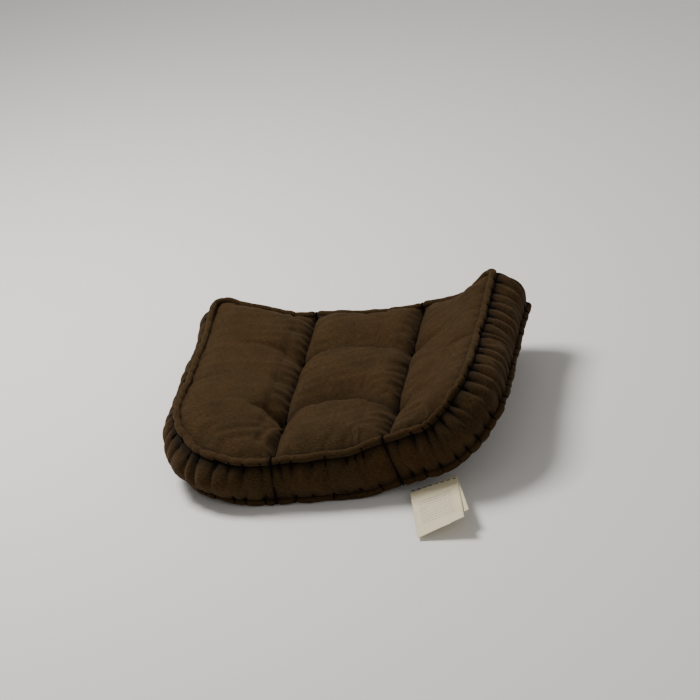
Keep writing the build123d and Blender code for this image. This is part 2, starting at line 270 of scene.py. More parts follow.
# Folds that run out from a tuft: column side, row, direction in degrees, length, depth, steep side
TUFT_FOLDS = (
    (-1, 1, 147, 0.075, 0.0056, 1),
    (-1, 1, 176, 0.100, 0.0032, -1),
    (-1, 1, 28, 0.050, 0.0035, -1),
    (-1, -1, 172, 0.062, 0.0160, -1),
    (-1, -1, 150, 0.060, 0.0045, 1),
    (-1, -1, 256, 0.075, 0.0080, 1),
    (-1, -1, 284, 0.060, 0.0048, -1),
    (1, 1, 152, 0.060, 0.0040, -1),
    (1, 1, 20, 0.080, 0.0056, -1),
    (1, 1, 330, 0.060, 0.0040, 1),
    (1, -1, 236, 0.065, 0.0056, 1),
    (1, -1, 292, 0.055, 0.0048, -1),
    (1, -1, 14, 0.075, 0.0056, -1),
    (1, -1, 340, 0.065, 0.0040, 1),
)


def softened(distance, width):
    """Distance with its sharp zero rounded off over a width."""
    return np.sqrt(distance**2 + width**2) - width


def tuft_gaps(u, v):
    """Distances from flat points to the nearest cord and to the nearest tuft."""
    from_column = np.abs(np.abs(u) - COLUMN)
    from_row = np.minimum(np.abs(v - FRONT_ROW), np.abs(v - BACK_ROW))
    return from_column, np.hypot(from_column, from_row)


def row_drop(u, v, row, bow, depth):
    """Crease between two tufts of a row, steep on its front side and easy behind."""
    middle = np.clip(1 - (u / COLUMN) ** 2, 0, 1)
    line = row + bow * middle
    ahead = v - line
    reach = np.where(ahead < 0, 0.0100, 0.030)
    between = np.clip((COLUMN - np.abs(u)) / 0.012 + 1, 0, 1)
    outside = np.exp(-np.clip(np.abs(u) - COLUMN, 0, None) / 0.060) * 0.75
    strength = np.where(np.abs(u) < COLUMN, 1.0, outside) * np.maximum(between, outside)
    return depth * strength * np.exp(-softened(np.abs(ahead), 0.0025) / reach)


def fold_drops(u, v):
    """Depth that the folds running out from the tufts take off the crown."""
    total = np.zeros(np.shape(u))
    for side, which, way, length, depth, steep in TUFT_FOLDS:
        row = BACK_ROW if which > 0 else FRONT_ROW
        du, dv = u - side * COLUMN, v - row
        cos, sin = math.cos(math.radians(way)), math.sin(math.radians(way))
        along = du * cos + dv * sin
        across = -du * sin + dv * cos
        across = across + 0.006 * np.sin(along / length * 3)
        reach = np.where(across * steep > 0, 0.0040, 0.0120)
        taper = np.clip(1 - along / length, 0, 1) ** 0.8 * np.clip(along / 0.006, 0, 1)
        total = total + depth * taper * np.exp(-softened(np.abs(across), 0.0012) / reach)
    return total


def top_height(u, v, place=None, inside=None):
    """Height of the top of the pad at flat points."""
    if place is None:
        place, inside = nearest_edge(u, v)
    from_column, from_tuft = tuft_gaps(u, v)
    from_tuft = softened(from_tuft, 0.0015)
    centre_fall = np.where(np.abs(u) < COLUMN, 0.0, -0.002)

    _, _, _, out_v = edge(place)
    rim = RIM + FRONT_RIM_RISE * np.clip(-out_v * 1.5, 0, 1)
    drops = [(CROWN - rim) * np.exp(-np.clip(inside - RIM_INSET, 0, None) / 0.017)]
    valley = 0.0125 * np.exp(-softened(from_column, 0.0030) / 0.0260)
    drops.append(valley + 0.0085 * np.exp(-softened(from_column, 0.0008) / 0.0075))
    drops.append(row_drop(u, v, FRONT_ROW, FRONT_BOW, 0.0180))
    drops.append(row_drop(u, v, BACK_ROW, BACK_BOW, 0.0130))
    drops.append(0.0285 * np.exp(-from_tuft / 0.0200))
    power = 2.6
    drop = sum(np.maximum(d, 1e-6) ** power for d in drops) ** (1 / power)
    drop = drop + fold_drops(u, v)
    outside_tufts = np.clip((from_tuft - 0.004) / 0.020, 0, 1)
    cord_cut = (0.0030 + 0.0030 * outside_tufts) * np.exp(-from_column / 0.0028)
    drop = drop + cord_cut * (inside > RIM_INSET)

    from_rim = np.clip(inside - RIM_INSET, 0, None)
    edge_pull = gathers(place, TOP_STITCHES, 0.0055) * np.exp(-from_rim / 0.012)
    relief = 0.0008 * waves(u / 0.060, v / 0.035, 21) + 0.0004 * waves(u / 0.030, v / 0.012, 22)
    settled = np.clip((inside - RIM_INSET) / 0.03, 0, 1)
    height = CROWN + centre_fall - drop - 0.0022 * edge_pull + relief * settled
    return np.where(inside < RIM_INSET, rim - (RIM_INSET - inside) * 0.9, height)


def half_width_at(v, inset):
    """Half width of the outline moved inwards by inset, at v."""
    wide = np.full(np.shape(v), HALF_WIDTH - inset)
    for radius, sign in ((FRONT_CORNER, -1), (BACK_CORNER, 1)):
        past = np.clip(sign * v - (HALF_DEPTH - radius), 0, radius - inset)
        wide = np.minimum(wide, HALF_WIDTH - radius + np.sqrt((radius - inset) ** 2 - past**2))
    return wide


def panel_grid(inset, step):
    """Grid of flat points that fills the outline moved inwards, with lines along both cords."""
    rows = int((DEPTH - 2 * inset) / step) // 2 * 2 + 1
    v = np.linspace(-HALF_DEPTH + inset, HALF_DEPTH - inset, rows)
    beside = np.array((0.0, 0.0007, 0.0016, 0.0028, 0.0043, 0.0061, 0.0081))
    inner = np.linspace(0, COLUMN - beside[-1], round((COLUMN - beside[-1]) / step / 2) * 2 + 1)
    first = COLUMN + beside[-1]
    between = np.linspace(first, PANEL_MIDDLE, round((PANEL_MIDDLE - first) / step / 2) * 2 + 1)
    right = np.concatenate([inner[:-1], COLUMN - beside[::-1], (COLUMN + beside)[1:], between[1:]])
    middle = np.concatenate([-right[:0:-1], right])
    outer = np.linspace(0, 1, int((HALF_WIDTH - inset - PANEL_MIDDLE) / step) // 2 * 2 + 1)[1:]
    lines = []
    for half in half_width_at(v, inset):
        side = PANEL_MIDDLE + outer * (half - PANEL_MIDDLE)
        lines.append(np.concatenate([-side[::-1], middle, side]))
    u = np.array(lines)
    return u, np.repeat(v[:, None], u.shape[1], 1)


# ---------------------------------------------------------------- mesh making
def new_object(name, points, faces, flat=None):
    """Mesh object with smooth faces; flat holds each point's place on the cloth, for the weave, and in
    its third number the painted shade.
    """
    mesh = bpy.data.meshes.new(name)
    mesh.from_pydata([tuple(p) for p in points], [], [tuple(f) for f in faces])
    mesh.polygons.foreach_set("use_smooth", [True] * len(mesh.polygons))
    if flat is not None:
        attribute = mesh.attributes.new("cloth_place", "FLOAT_VECTOR", "POINT")
        attribute.data.foreach_set("vector", np.asarray(flat, np.float32).ravel())
    mesh.update()
    piece = bpy.data.objects.new(name, mesh)
    bpy.context.scene.collection.objects.link(piece)
    return piece


def grid_faces(rows, columns, start=0, flip=False):
    """Quads of a grid of points numbered row by row."""
    faces = []
    for i in range(rows - 1):
        for j in range(columns - 1):
            a, b = start + i * columns + j, start + (i + 1) * columns + j
            faces.append((b, b + 1, a + 1, a) if flip else (a, a + 1, b + 1, b))
    return faces


def shell(name, outer, inner, flat):
    """Closed sheet between an outer and an inner grid of points, both of shape (rows, columns, 3)."""
    rows, columns = outer.shape[:2]
    count = rows * columns
    faces = grid_faces(rows, columns) + grid_faces(rows, columns, start=count, flip=True)
    rim = [(0, j) for j in range(columns)]
    rim += [(i, columns - 1) for i in range(1, rows)]
    rim += [(rows - 1, j) for j in range(columns - 2, -1, -1)]
    rim += [(i, 0) for i in range(rows - 2, 0, -1)]
    index = [i * columns + j for i, j in rim]
    for a, b in zip(index, index[1:] + index[:1]):
        faces.append((b, a, a + count, b + count))
    points = np.concatenate([outer.reshape(-1, 3), inner.reshape(-1, 3)])
    return new_object(name, points, faces, np.concatenate([flat.reshape(-1, 3)] * 2))


def ring(name, sections, flat):
    """Closed tube through sections of points, shape (sections, points, 3), joined end to start."""
    rows, columns = sections.shape[:2]
    faces = []
    for i in range(rows):
        n = (i + 1) % rows
        for j in range(columns):
            k = (j + 1) % columns
            faces.append((i * columns + j, n * columns + j, n * columns + k, i * columns + k))
    return new_object(name, sections.reshape(-1, 3), faces, flat.reshape(-1, 3))


# ---------------------------------------------------------------- materials
def tree_of(name):
    """New material with its shader, node tree and a helper that adds and links nodes."""
    material = bpy.data.materials.new(name)
    material.use_nodes = True
    nodes, links = material.node_tree.nodes, material.node_tree.links
    shader = nodes["Principled BSDF"]

    def add(kind, inputs=None, **settings):
        node = nodes.new(kind)
        for key, value in settings.items():
            setattr(node, key, value)
        for key, value in (inputs or {}).items():
            socket = node.inputs[key]
            if isinstance(value, bpy.types.NodeSocket):
                links.new(value, socket)
            else:
                socket.default_value = value
        return node

    return material, shader, add, links


def mixed(add, links, factor, first, second, **settings):
    """Mix of two colours, each a socket or a fixed colour."""
    node = add("ShaderNodeMix", {"Factor": factor}, data_type="RGBA", **settings)
    for socket, colour in ((node.inputs["A"], first), (node.inputs["B"], second)):
        if isinstance(colour, bpy.types.NodeSocket):
            links.new(colour, socket)
        else:
            socket.default_value = colour
    return node.outputs["Result"]


def woven(name, dark, light, painted_shade_colour, thread=0.0011, depth=0.35):
    """Slubby plain weave: two sets of threads, thick and thin places, and shade painted darker into the
    creases, pits and grooves.
    """
    material, shader, add, links = tree_of(name)
    attribute = add("ShaderNodeAttribute", attribute_name="cloth_place").outputs["Vector"]
    # The third number of cloth_place is the painted shade: how far the cloth is darkened where shade
    # falls.
    painted_shade_amount = add("ShaderNodeSeparateXYZ", {"Vector": attribute}).outputs["Z"]
    place = add("ShaderNodeMapping", {"Vector": attribute, "Scale": (1.0, 1.0, 0.0)}).outputs[0]

    def threads_along(direction):
        waves_in = {"Vector": place, "Scale": math.tau / thread / 20, "Distortion": 1.5, "Detail": 1.0}
        return add("ShaderNodeTexWave", waves_in, bands_direction=direction).outputs["Fac"]

    def noise(scale, stretch=(1.0, 1.0, 1.0), detail=3.0):
        stretched = add("ShaderNodeMapping", {"Vector": place, "Scale": stretch}).outputs[0]
        settings = {"Vector": stretched, "Scale": scale, "Detail": detail}
        return add("ShaderNodeTexNoise", settings).outputs["Fac"]

    def ranged(value, low, high, to_low=0.0, to_high=1.0):
        limits = {"Value": value, "From Min": low, "From Max": high, "To Min": to_low, "To Max": to_high}
        return add("ShaderNodeMapRange", limits).outputs[0]

    warp, weft = threads_along("X"), threads_along("Y")
    weave = add("ShaderNodeMath", {0: warp, 1: weft}, operation="MAXIMUM").outputs[0]
    slubs = noise(1.0, (190.0, 800.0, 1.0))
    streaks = noise(1.0, (800.0, 170.0, 1.0), 2.0)

    colour = mixed(add, links, ranged(slubs, 0.40, 0.68), dark, light)
    colour = mixed(add, links, ranged(streaks, 0.52, 0.75, 0.0, 0.4), colour, light)
    patches = ranged(noise(26.0, detail=4.0), 0.3, 0.7, 0.82, 1.15)
    colour = mixed(add, links, 1.0, colour, patches, blend_type="MULTIPLY")
    tint = mixed(add, links, ranged(noise(9.0), 0.40, 0.62), (0.98, 1.02, 0.99, 1), (1.05, 0.98, 0.95, 1))
    colour = mixed(add, links, 1.0, colour, tint, blend_type="MULTIPLY")
    # Painted shade: the cloth goes towards a near-black brown in creases, pits and grooves.
    colour = mixed(add, links, painted_shade_amount, colour, painted_shade_colour)
    links.new(colour, shader.inputs["Base Color"])

    relief = add("ShaderNodeMath", {0: slubs, 1: 0.6}, operation="MULTIPLY").outputs[0]
    relief = add("ShaderNodeMath", {0: relief, 1: weave}, operation="ADD").outputs[0]
    bump = add("ShaderNodeBump", {"Height": relief, "Strength": depth, "Distance": 0.0012})
    links.new(bump.outputs[0], shader.inputs["Normal"])
    links.new(ranged(slubs, 0.0, 1.0, 0.82, 0.98), shader.inputs["Roughness"])
    shader.inputs["Sheen Weight"].default_value = 0.12
    shader.inputs["Sheen Roughness"].default_value = 0.5
    shader.inputs["Sheen Tint"].default_value = (0.55, 0.36, 0.20, 1)
    shader.inputs["Specular IOR Level"].default_value = 0.10
    return material


def cord_material(name, turns):
    """Black twisted cord or thread: diagonal strands along the piece."""
    material, shader, add, links = tree_of(name)
    place = add("ShaderNodeAttribute", attribute_name="cloth_place").outputs["Vector"]
    twist = {"Vector": place, "Scale": turns, "Distortion": 0.6}
    strands = add("ShaderNodeTexWave", twist, bands_direction="DIAGONAL").outputs["Fac"]
    colour = mixed(add, links, strands, (0.0020, 0.0014, 0.0010, 1), (0.0060, 0.0045, 0.0035, 1))
    links.new(colour, shader.inputs["Base Color"])
    bump = add("ShaderNodeBump", {"Height": strands, "Strength": 0.6, "Distance": 0.0006})
    links.new(bump.outputs[0], shader.inputs["Normal"])
    shader.inputs["Roughness"].default_value = 0.95
    shader.inputs["Specular IOR Level"].default_value = 0.04
    return material


DARK_BROWN = (0.0205, 0.0108, 0.0034, 1)
LIGHT_BROWN = (0.0490, 0.0275, 0.0092, 1)
# Near-black brown painted into the cover where shade falls in creases, pits and grooves.
PAINTED_SHADE_BROWN = (0.0045, 0.0025, 0.0012, 1)
COVER = woven("dark_brown_slub", DARK_BROWN, LIGHT_BROWN, PAINTED_SHADE_BROWN)
CORD = cord_material("black_cord", 300.0)
THREAD = cord_material("black_thread", 500.0)


def dress(piece, material, body="pad"):
    """Give a piece its material and the body it moves with."""
    piece.data.materials.clear()
    piece.data.materials.append(material)
    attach(piece, body)
    return piece


# ---------------------------------------------------------------- filling pushed out against the cloth
SIM_FRAMES = 18
SIM_PRESSURE = 4.0
SIM_REACH = 0.0030


def smoothed(field, passes):
    """Field averaged with its neighbours along both sides of its grid."""
    for _ in range(passes):
        for axis in (0, 1):
            padded = np.concatenate([field.take([0], axis), field, field.take([-1], axis)], axis)
            count = field.shape[axis]
            sides = padded.take(range(count), axis) + padded.take(range(2, count + 2), axis)
            field = field * 0.5 + sides * 0.25
    return field


def filled_out(points, held, slack):
    """How far a cloth simulation moves a grid of points as the filling pushes it out."""
    coarse, pins = points[::2, ::2], held[::2, ::2]
    rows, columns = pins.shape
    cloth = new_object("cloth_under_pressure", coarse.reshape(-1, 3), grid_faces(rows, columns))
    group = cloth.vertex_groups.new(name="held")
    for i, share in enumerate(pins.ravel()):
        group.add([i], float(share), "REPLACE")
    settings = cloth.modifiers.new("cloth", "CLOTH").settings
    settings.vertex_group_mass = "held"
    settings.quality = 6
    settings.use_pressure = True
    settings.uniform_pressure_force = SIM_PRESSURE
    settings.shrink_min = -slack
    settings.tension_stiffness = 20
    settings.compression_stiffness = 20
    settings.bending_stiffness = 0.4
    settings.effector_weights.gravity = 0
    scene = bpy.context.scene
    for number in range(1, SIM_FRAMES + 1):
        scene.frame_set(number)
    mesh = cloth.evaluated_get(bpy.context.evaluated_depsgraph_get()).data
    settled = np.empty(len(mesh.vertices) * 3)
    mesh.vertices.foreach_get("co", settled)
    moved = settled.reshape(coarse.shape) - coarse
    bpy.data.objects.remove(cloth)
    scene.frame_set(1)
    size = np.linalg.norm(moved, axis=-1, keepdims=True)
    moved = moved * np.tanh(size / SIM_REACH) * SIM_REACH / np.maximum(size, 1e-9)
    fine = np.empty(points.shape)
    fine[::2, ::2] = moved
    fine[1::2, ::2] = (moved[1:] + moved[:-1]) / 2
    fine[:, 1::2] = (fine[:, 2::2] + fine[:, :-1:2]) / 2
    return smoothed(fine, 2)


def make_top_panel():
    """Top cloth, crowned, creased and pitted, held at the rim, the cords, the tufts and the rows."""
    u, v = panel_grid(0.0070, TOP_STEP)
    place, inside = nearest_edge(u, v)
    w = top_height(u, v, place, inside)
    flat = np.stack([u, v, np.zeros(u.shape)], -1)
    from_column, from_tuft = tuft_gaps(u, v)
    held = (inside < RIM_INSET + 0.001) | (from_column < 0.0011) | (from_tuft < 0.006)
    rows = row_drop(u, v, FRONT_ROW, FRONT_BOW, 1.0) + row_drop(u, v, BACK_ROW, BACK_BOW, 0.8)
    held = np.maximum(held, np.clip(rows * 1.3 - 0.35, 0, 0.9))
    # Painted shade: darker cloth along the cords' creases, round the tufts, in the groove inside the rim
    # and in the row creases.
    shade = np.maximum(0.9 * np.exp(-from_column / 0.0035), np.exp(-((from_tuft / 0.010) ** 2)))
    shade = np.maximum(shade, 0.8 * np.exp(-np.clip(inside - 0.009, 0, None) / 0.003))
    shade = np.maximum(shade, 0.6 * np.clip(rows, 0, 1) ** 4)
    flat[..., 2] = shade
    points = np.stack([u, v, w], -1)
    points = points + filled_out(points, held, 0.030)
    outer = bend(*np.moveaxis(points, -1, 0))
    return shell("top_panel_cloth", outer, bend(*np.moveaxis(points - (0, 0, CLOTH), -1, 0)), flat)


def make_bottom_panel():
    """Flat cloth underneath, with a channel for each cord."""
    u, v = panel_grid(0.0080, BOTTOM_STEP)
    from_column = tuft_gaps(u, v)[0]
    inside = nearest_edge(u, v)[1]
    lift = 0.0052 * np.exp(-((from_column / 0.0055) ** 2))
    lift = lift + 0.0016 * np.exp(-((inside - 0.008) / 0.004) ** 2)
    lift = lift + 0.00032 * (1 + waves(u / 0.05, v / 0.05, 31)) * np.clip((inside - 0.01) / 0.05, 0, 1)
    flat = np.stack([u, v, np.zeros(u.shape)], -1)
    return shell("bottom_panel_cloth", bend(u, v, lift + CLOTH), bend(u, v, lift), flat)


# ---------------------------------------------------------------- boxing
def bulge_at(s):
    """How far the boxing stands out at its middle, along the outline."""
    _, _, out_u, out_v = edge(s)
    round_front = np.clip(-out_v + 0.4, 0, 1) * np.abs(out_u)
    fuller = np.where(out_u < 0, 0.0120, 0.0045) * round_front
    full = 0.0080 + fuller + 0.0015 * waves(s / 0.09, s * 0, 41)
    held = 1 - np.exp(-((from_cords(s) / 0.024) ** 1.1))
    from_seams = np.minimum(around(s, LEFT_SEAM), around(s, RIGHT_SEAM))
    return full * held - 0.0022 * np.exp(-from_seams / 0.0035)


def boxing_pleats(s, t):
    """Valleys of the boxing's pleats, which run down from the top stitches and up from the low ones."""
    from_top = gathers(s, TOP_STITCHES, 0.0050, t) * np.exp(-t / 0.50)
    from_low = gathers(s, LOW_STITCHES, 0.0042, 1 - t) * np.exp(-(1 - t) / 0.30)
    return np.maximum(from_top, from_low)


def boxing_inset(s, t):
    """Inset of the boxing's face at share t of its height, from the top seam down."""
    swell = np.sin(math.pi * np.clip(t, 0, 1) ** 0.92) ** 0.62
    open_part = np.sin(math.pi * np.clip(t, 0.03, 0.97)) ** 0.35
    relief = 0.0006 * waves(s / 0.016, t / 0.5, 43) * np.sin(math.pi * t)
    pleats = boxing_pleats(s, t)
    outward = (BOXING_INSET + bulge_at(s)) * swell * (1 - 0.30 * pleats) + relief
    return BOXING_INSET - outward + 0.0082 * pleats * open_part


def make_boxing(name, start, end):
    """One strip of the pleated side between two lengths along the outline."""
    columns = int((end - start) / EDGE_STEP) // 2 * 2 + 1
    s = np.linspace(start, end, columns)[None, :]
    t = np.linspace(1, 0, 41)[:, None]
    s, t = np.broadcast_arrays(s, t)
    w = BOXING_TOP + (BOXING_LOW - BOXING_TOP) * t
    flat = np.stack([s, w, np.zeros(s.shape)], -1)
    pinned = (t < 0.02) | (t > 0.98) | (from_cords(s) < 0.0025)
    pinned = pinned | (s < start + 0.002) | (s > end - 0.002)
    held = np.maximum(pinned, np.clip(boxing_pleats(s, t) * 1.6 - 0.15, 0, 1))
    # Painted shade: darker cloth in the groove under the top roll and above the low roll, in the stitch
    # pits, in the pleats' valleys and at the cords.
    shade_beside_rolls = np.exp(-((t / 0.12) ** 1.5)) + np.exp(-(((1 - t) / 0.12) ** 1.5))
    high_pit_shade = gathers(s, TOP_STITCHES, 0.0040, t) * np.exp(-((t / 0.28) ** 2))
    low_pit_shade = 0.6 * gathers(s, LOW_STITCHES, 0.0030, 1 - t) * np.exp(-(((1 - t) / 0.22) ** 2))
    shade = shade_beside_rolls + np.maximum(high_pit_shade, low_pit_shade) * 1.6 - 0.1
    shade = shade + 0.45 * boxing_pleats(s, t) ** 2 + np.exp(-from_cords(s) / 0.003)
    flat[..., 2] = np.clip(shade, 0, 1)
    points = np.stack([s, w, -boxing_inset(s, t)], -1)
    points = points + filled_out(points, held, 0.060)
    s, w, outward = np.moveaxis(points, -1, 0)
    u, v, out_u, out_v = edge(s)
    outer = bend(u + out_u * outward, v + out_v * outward, w)
    deeper = outward - CLOTH
    inner = bend(u + out_u * deeper, v + out_v * deeper, w)
    return shell(name, outer, inner, flat)


# ---------------------------------------------------------------- rolled edges
def make_roll(name, height, line, sides=18):
    """Stuffed ridge along one edge, pinched by its stitches and by the cords."""
    way = -1 if height > HEIGHT / 2 else 1
    s = np.arange(0, PERIMETER, EDGE_STEP)[:, None]
    around_tube = np.arange(sides)[None, :] / sides * math.tau
    s, a = np.broadcast_arrays(s, around_tube)
    pull = gathers(s, line, 0.0042)
    notch = np.exp(-((from_cords(s) / 0.0035) ** 2))
    radius = ROLL_RADIUS * (1.08 - 0.30 * pull - 0.22 * notch + 0.04 * waves(s / 0.013, a / 4, 51))
    centre_in = ROLL_INSET + 0.0008 * waves(s / 0.03, s * 0, 52) + 0.0012 * notch
    centre_up = height + way * (0.0006 * pull + 0.0012 * notch)
    centre_up = centre_up + 0.0006 * waves(s / 0.035, s * 0, 53)
    # Painted shade: darker cloth on the roll's shaded side, in its stitch pits and at the cord notches.
    shaded_low_side = np.clip(way * np.sin(a - 0.35), 0, 1) ** 1.5
    shade = np.clip(0.75 * shaded_low_side + 0.8 * pull**3 * shaded_low_side + 0.8 * notch, 0, 1)
    inset = centre_in - radius * np.cos(a)
    w = np.maximum(centre_up + radius * np.sin(a), LEAST_HEIGHT)
    u, v, out_u, out_v = edge(s)
    flat = np.stack([s, a * ROLL_RADIUS, shade], -1)
    return ring(name, bend(u - out_u * inset, v - out_v * inset, w), flat)


# ---------------------------------------------------------------- threads and cords
EDGE_THREAD = 0.0011
SEAM_THREAD = 0.0007


def tube(path, radius, sides, closed=False):
    """Points and faces of a tube along a path of points."""
    path = np.asarray(path, float)
    if closed:
        ahead = np.roll(path, -1, 0) - np.roll(path, 1, 0)
    else:
        ahead = np.gradient(path, axis=0)
    ahead /= np.linalg.norm(ahead, axis=1)[:, None]
    normal = np.cross(ahead[len(ahead) // 2], ahead[0] + (0.31, 0.52, 0.79))
    points = []
    for at, way in zip(path, ahead):
        normal = normal - way * normal.dot(way)
        normal /= np.linalg.norm(normal)
        other = np.cross(way, normal)
        for k in range(sides):
            a = k / sides * math.tau
            points.append(at + radius * (math.cos(a) * normal + math.sin(a) * other))
    rows = len(path)
    faces = []
    for i in range(rows if closed else rows - 1):
        n = (i + 1) % rows
        for j in range(sides):
            k = (j + 1) % sides
            faces.append((i * sides + j, i * sides + k, n * sides + k, n * sides + j))
    if not closed:
        faces.append(tuple(range(sides))[::-1])
        faces.append(tuple((rows - 1) * sides + j for j in range(sides)))
    return points, faces


def joined_tubes(name, paths, radius, sides=7):
    """One object of separate tubes."""
    points, faces, flat = [], [], []
    for path in paths:
        start = len(points)
        more, quads = tube(path, radius, sides)
        points += more
        faces += [tuple(start + i for i in quad) for quad in quads]
        flat += [(i // sides * 0.002, i % sides * 0.001, 0) for i in range(len(more))]
    return new_object(name, points, faces, flat)


def stitch_paths(line, top):
    """Short threads that cross the groove beside a rolled edge, from the roll onto the boxing."""
    way = 1 if top else -1
    height = TOP_ROLL if top else LOW_ROLL
    paths = []
    for place, _, slant in zip(*line):
        path = []
        for share in np.linspace(0, 1, 9):
            s = np.array(place + slant * (share - 0.5) * 1.4)
            angle = math.radians(10 - 62 * min(share / 0.5, 1))
            reach = ROLL_RADIUS * 0.80 + 0.0004
            inset = ROLL_INSET - reach * math.cos(angle)
            w = height + way * reach * math.sin(angle)
            if share > 0.5:
                w = w - way * 0.0095 * (share - 0.5) * 2
                t = np.array((BOXING_TOP - w) / (BOXING_TOP - BOXING_LOW))
                inset = min(inset, float(boxing_inset(s, np.clip(t, 0.0, 1.0))) - 0.0002)
            u, v, out_u, out_v = edge(s)
            path.append(bend(u - out_u * inset, v - out_v * inset, w))
        paths.append(path)
    return paths


def seam_paths():
    """Short threads across the two upright seams where the boxing's strips meet."""
    paths = []
    for seam in (LEFT_SEAM, RIGHT_SEAM):
        for t in np.linspace(0.14, 0.86, 6):
            path = []
            for step in np.linspace(-0.0035, 0.0035, 5):
                s = np.array(seam + step)
                inset = float(boxing_inset(s, np.array(t))) + 0.0006 * (abs(step) > 0.003) - 0.0004
                u, v, out_u, out_v = edge(s)
                w = BOXING_TOP + (BOXING_LOW - BOXING_TOP) * t + step * 0.25
                path.append(bend(u - out_u * inset, v - out_v * inset, w))
            paths.append(path)
    return paths


def cord_section(column):
    """One cord's closed path as (v, w) points: over the top, down the front, under and up the back."""
    near = HALF_DEPTH - 0.0150
    v = np.linspace(near, -near, 150)
    w = top_height(np.full(v.shape, column), v) + CORD_RADIUS * 0.55
    top = list(zip(v, w))
    outer = HALF_DEPTH - 0.0006
    over = [(HALF_DEPTH - 0.0100, HEIGHT - 0.0024), (HALF_DEPTH - 0.0060, HEIGHT - 0.0012)]
    over += [(HALF_DEPTH - 0.0022, HEIGHT - 0.0025), (outer - 0.0002, HEIGHT - 0.0062)]
    drop = np.linspace(HEIGHT - 0.011, 0.0100, 18)
    down = [(outer, height) for height in drop]
    under = [(outer - 0.0006, 0.0060), (outer - 0.0032, 0.0026), (outer - 0.0080, 0.0020)]
    below = np.linspace(HALF_DEPTH - 0.014, -HALF_DEPTH + 0.014, 30)
    front = [(-a, b) for a, b in over + down + under]
    floor = [(a, 0.0022) for a in below[::-1]]
    back = [(a, b) for a, b in (over + down + under)[::-1]]
    return top + front + floor + back


def make_cord(name, column):
    """One closed loop of cord round the pad."""
    section = np.array(cord_section(column))
    path = np.stack([np.full(len(section), column), section[:, 0], section[:, 1]], -1)
    points, faces = tube(path, CORD_RADIUS, CORD_SIDES, closed=True)
    points = np.array(points)
    length = np.concatenate([[0], np.cumsum(np.linalg.norm(np.diff(path, axis=0), axis=1))])
    strand = math.tau * CORD_RADIUS / CORD_SIDES
    flat = [(length[i // CORD_SIDES], i % CORD_SIDES * strand, 0) for i in range(len(points))]
    return new_object(name, bend(*points.T), faces, flat)


# ---------------------------------------------------------------- care labels
HINGE = frame["joints"][0]
LABEL_CORNER = Vector(HINGE["pos_m"])
LABEL_ACROSS = -Vector(HINGE["axis"]).normalized()
# Way the labels hang, from their seam to their free ends
LABEL_FALL = Vector((0.110, -0.988, -0.107))
LABEL_CLOTH = 0.0004


def make_label(name, width, length, turn, offset, drop, curl):
    """Woven leaf that hangs from the bottom seam, with its ends folded over and a soft curl."""
    across = np.array(LABEL_ACROSS)
    fall = np.array((LABEL_FALL - LABEL_ACROSS * LABEL_FALL.dot(LABEL_ACROSS)).normalized())
    facing = -np.cross(across, fall)
    a, b = np.meshgrid(np.linspace(0, width, 34), np.linspace(0, length, 50))
    right = a * math.cos(turn) + b * math.sin(turn) + offset
    down = b * math.cos(turn) - a * math.sin(turn)
    far = b / length
    lift = curl * far**2 * (a / width) ** 1.5 + 0.0007 * (1 + waves(a / 0.05, b / 0.06, 61)) * far
    for fold in (0.19, 0.84):
        lift = lift + 0.0009 * np.exp(-(((far - fold) * length / 0.0012) ** 2))
    lift = lift + 0.0010 * np.abs(np.sin(a / width * math.pi * 1.5)) * far - drop
    outer = right[..., None] * across + down[..., None] * fall + lift[..., None] * facing
    outer = outer + np.array(LABEL_CORNER)
    outer[..., 2] = np.maximum(outer[..., 2], LEAST_HEIGHT + LABEL_CLOTH)
    return shell(name, outer - LABEL_CLOTH * facing, outer, np.stack([a, b, np.zeros(a.shape)], -1))


def label_material():
    """Cream satin with folded ends and faint, meaningless grey marks in rows."""
    material, shader, add, links = tree_of("care_label_satin")
    place = add("ShaderNodeAttribute", attribute_name="cloth_place").outputs["Vector"]
    split = add("ShaderNodeSeparateXYZ", {"Vector": place})
    across, down = split.outputs["X"], split.outputs["Y"]

    def maths(kind, first, second=0.0):
        return add("ShaderNodeMath", {0: first, 1: second}, operation=kind).outputs[0]

    row = maths("DIVIDE", down, 0.0052)
    within = maths("LESS_THAN", maths("FRACT", row), 0.42)
    spread = {"X": maths("MULTIPLY", across, 620.0), "Y": maths("FLOOR", row)}
    word_place = add("ShaderNodeCombineXYZ", spread).outputs[0]
    words = add("ShaderNodeTexNoise", {"Vector": word_place, "Scale": 1.0, "Detail": 2.0}).outputs["Fac"]
    inked = maths("GREATER_THAN", words, 0.47)
    for side, low, high in ((across, 0.009, 0.055), (down, 0.024, 0.078)):
        inked = maths("MULTIPLY", inked, maths("GREATER_THAN", side, low))
        inked = maths("MULTIPLY", inked, maths("LESS_THAN", side, high))
    inked = maths("MULTIPLY", maths("MULTIPLY", inked, within), 0.55)
    creases = add("ShaderNodeTexNoise", {"Vector": place, "Scale": 45.0, "Detail": 4.0}).outputs["Fac"]
    cloth = mixed(add, links, creases, (0.60, 0.52, 0.33, 1), (0.74, 0.67, 0.47, 1))
    links.new(mixed(add, links, inked, cloth, (0.17, 0.16, 0.15, 1)), shader.inputs["Base Color"])
    ribs = add("ShaderNodeTexWave", {"Vector": place, "Scale": 420.0}, bands_direction="Y").outputs["Fac"]
    bump = add("ShaderNodeBump", {"Height": ribs, "Strength": 0.25, "Distance": 0.0003})
    links.new(bump.outputs[0], shader.inputs["Normal"])
    shader.inputs["Roughness"].default_value = 0.55
    shader.inputs["Sheen Weight"].default_value = 0.2
    return material


# ---------------------------------------------------------------- make the pieces
top_panel = dress(make_top_panel(), COVER)
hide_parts("top_panel", "top_wadding", "core_batt")

bottom_panel = dress(make_bottom_panel(), COVER)
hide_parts("bottom_panel", "bottom_wadding")

